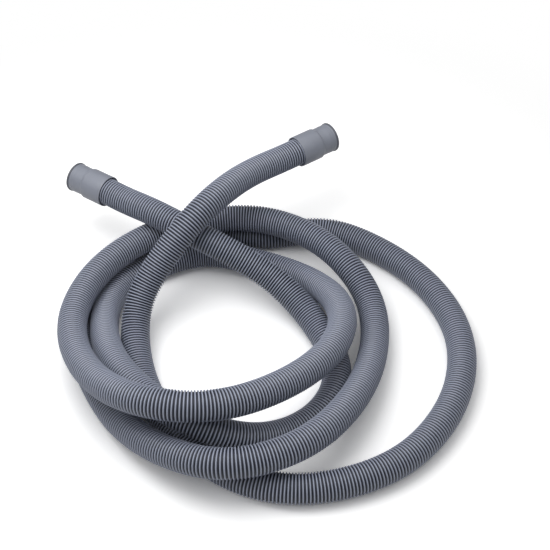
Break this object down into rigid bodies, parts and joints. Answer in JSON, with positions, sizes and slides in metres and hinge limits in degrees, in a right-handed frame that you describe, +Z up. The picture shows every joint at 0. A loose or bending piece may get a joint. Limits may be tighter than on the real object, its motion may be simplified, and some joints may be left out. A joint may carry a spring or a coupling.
{
  "type": "washing machine drain hose",
  "caption": "Long corrugated plastic drain hose lying in a loose coil, with a smooth rubber cuff on each end that pushes over an outlet or a waste spigot.",
  "frame": {"origin": "on the floor, under the middle of the coil's box", "axes": "+Z up; +X towards the coil's wide outer turn; +Y towards the side where the two free ends leave the coil"},
  "size_m": [0.3732, 0.3739, 0.1049],
  "materials": {
    "hose_plastic": "blue-grey polypropylene, satin, finely corrugated",
    "cuff_rubber": "smooth blue-grey moulded rubber, a shade lighter than the hose"
  },
  "bodies": {
    "root": {"corrugated_hose": "hose_plastic", "left_end_cuff": "cuff_rubber", "right_end_cuff": "cuff_rubber"}
  },
  "joints": []
}
